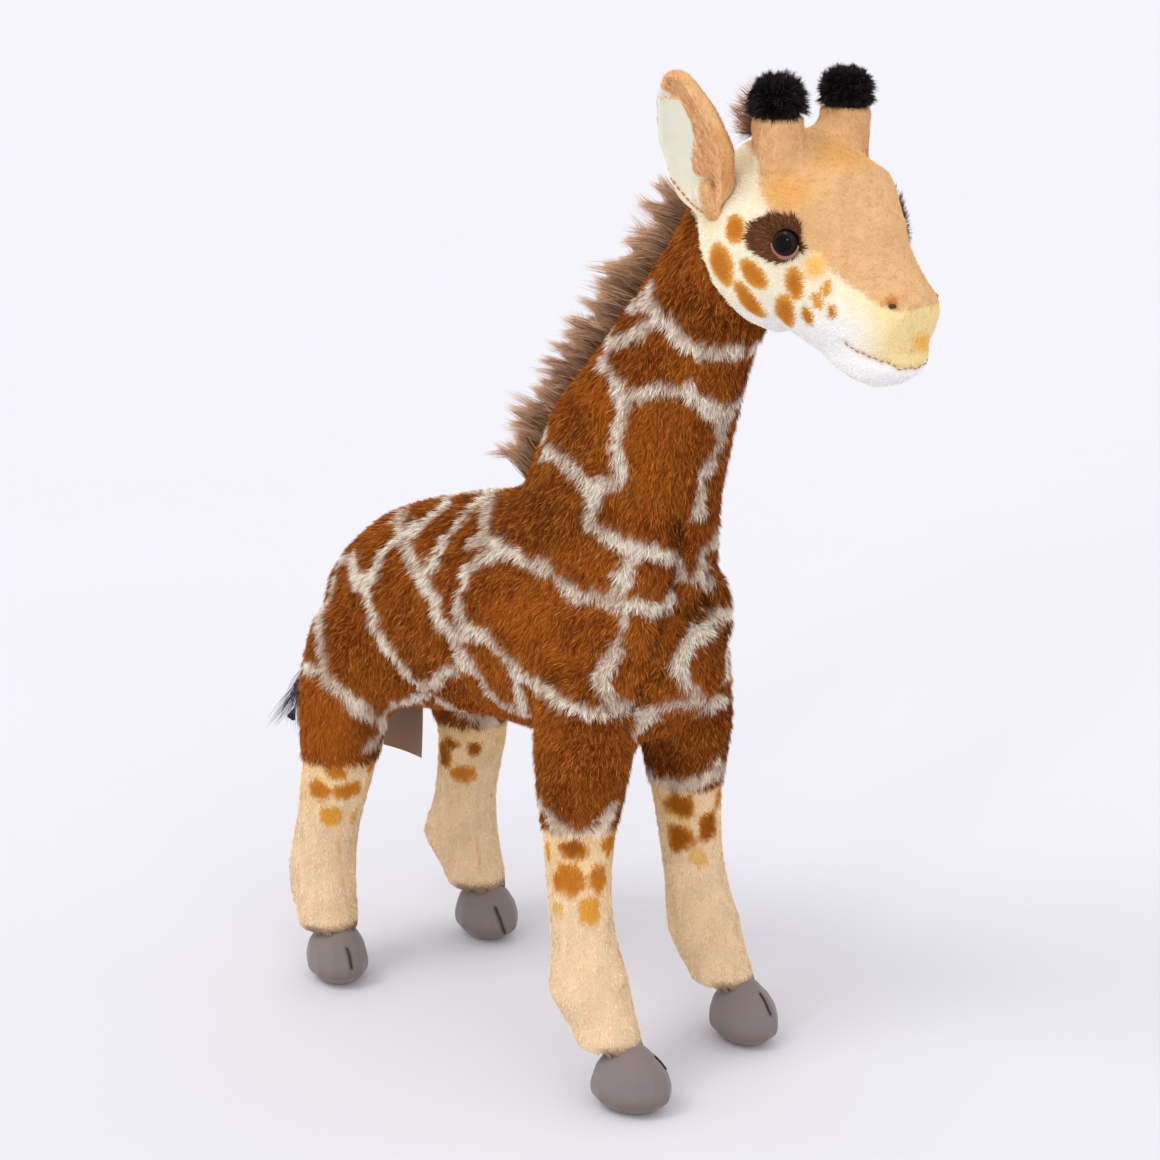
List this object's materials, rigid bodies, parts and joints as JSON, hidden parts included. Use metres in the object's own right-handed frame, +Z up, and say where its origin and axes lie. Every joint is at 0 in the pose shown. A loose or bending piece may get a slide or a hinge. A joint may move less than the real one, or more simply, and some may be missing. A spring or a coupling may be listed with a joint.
{
  "type": "plush giraffe",
  "caption": "Standing plush giraffe with a wire frame: the neck and legs bend, the head turns, and the ears and tail flex. It stands on flat soles.",
  "frame": {"origin": "on the floor, under the middle of the toy's bounding box", "axes": "+X towards the nose, +Y towards the giraffe's left, +Z up"},
  "size_m": [0.5466, 0.183, 0.627],
  "materials": {
    "fur": "short brown plush with pale lines",
    "fibre": "loose polyester fibre",
    "wire": "drawn wire",
    "face": "short tan plush",
    "eye": "polished",
    "plastic": "plain",
    "patch": "dark brown pile",
    "eyelid": "smooth cloth",
    "chin": "short white plush",
    "tuft": "black pile",
    "mane": "long brown pile",
    "lining": "smooth pale cloth",
    "pale": "short cream plush",
    "hoof": "grey suede cloth",
    "tail": "long black pile",
    "label": "woven ribbon"
  },
  "bodies": {
    "torso": {"torso_cover": "fur", "torso_stuffing": "fibre", "torso_frame": "wire", "sewn_label": "label"},
    "neck": {"neck_cover": "fur", "neck_stuffing": "fibre", "neck_wire": "wire", "mane": "mane"},
    "head": {"head_cover": "face", "head_stuffing": "fibre", "eye_right": "eye", "eye_washer_right": "plastic", "eye_patch_right": "patch", "eyelid_right": "eyelid", "eye_left": "eye", "eye_washer_left": "plastic", "eye_patch_left": "patch", "eyelid_left": "eyelid", "chin": "chin", "horn_right": "face", "horn_tuft_right": "tuft", "horn_left": "face", "horn_tuft_left": "tuft", "forelock": "mane"},
    "ear_right": {"ear_back_right": "face", "ear_lining_right": "lining"},
    "ear_left": {"ear_back_left": "face", "ear_lining_left": "lining"},
    "tail": {"tail": "fur", "tail_tuft": "tail"},
    "leg_front_right": {"upper_leg_front_right": "fur", "lower_leg_front_right": "pale", "hoof_front_right": "hoof", "hoof_insole_front_right": "plastic", "leg_wire_front_right": "wire"},
    "leg_front_left": {"upper_leg_front_left": "fur", "lower_leg_front_left": "pale", "hoof_front_left": "hoof", "hoof_insole_front_left": "plastic", "leg_wire_front_left": "wire"},
    "leg_rear_right": {"upper_leg_rear_right": "fur", "lower_leg_rear_right": "pale", "hoof_rear_right": "hoof", "hoof_insole_rear_right": "plastic", "leg_wire_rear_right": "wire"},
    "leg_rear_left": {"upper_leg_rear_left": "fur", "lower_leg_rear_left": "pale", "hoof_rear_left": "hoof", "hoof_insole_rear_left": "plastic", "leg_wire_rear_left": "wire"}
  },
  "joints": [
    {"name": "neck_bend", "type": "hinge", "parent": "torso", "child": "neck", "pos_m": [0.03484, -0.01023, 0.345], "axis": [0, 1, 0], "range_deg": [-10, 10]},
    {"name": "head_turn", "type": "hinge", "parent": "neck", "child": "head", "pos_m": [0.14108, -0.01023, 0.532], "axis": [0.4932, 0, 0.8699], "range_deg": [-20, 20]},
    {"name": "tail_swing", "type": "hinge", "parent": "torso", "child": "tail", "pos_m": [-0.19116, -0.01023, 0.236], "axis": [0, 1, 0], "range_deg": [-8, 16], "stiffness_Nm_per_rad": 0.06},
    {"name": "ear_flex_right", "type": "hinge", "parent": "head", "child": "ear_right", "pos_m": [0.15467, -0.05389, 0.56671], "axis": [-0.9847, 0.1736, 0.0162], "range_deg": [-8, 8], "stiffness_Nm_per_rad": 0.06},
    {"name": "ear_flex_left", "type": "hinge", "parent": "head", "child": "ear_left", "pos_m": [0.1507, 0.04115, 0.5609], "axis": [0.5107, -0.5107, 0.6916], "range_deg": [-8, 8], "stiffness_Nm_per_rad": 0.06},
    {"name": "leg_bend_front_right", "type": "hinge", "parent": "torso", "child": "leg_front_right", "pos_m": [0.05884, -0.05223, 0.254], "axis": [0, 1, 0], "range_deg": [-10, 10]},
    {"name": "leg_bend_front_left", "type": "hinge", "parent": "torso", "child": "leg_front_left", "pos_m": [0.05884, 0.03177, 0.254], "axis": [0, 1, 0], "range_deg": [-10, 10]},
    {"name": "leg_bend_rear_right", "type": "hinge", "parent": "torso", "child": "leg_rear_right", "pos_m": [-0.14816, -0.05223, 0.24], "axis": [0, 1, 0], "range_deg": [-10, 10]},
    {"name": "leg_bend_rear_left", "type": "hinge", "parent": "torso", "child": "leg_rear_left", "pos_m": [-0.14816, 0.03177, 0.24], "axis": [0, 1, 0], "range_deg": [-10, 10]}
  ]
}
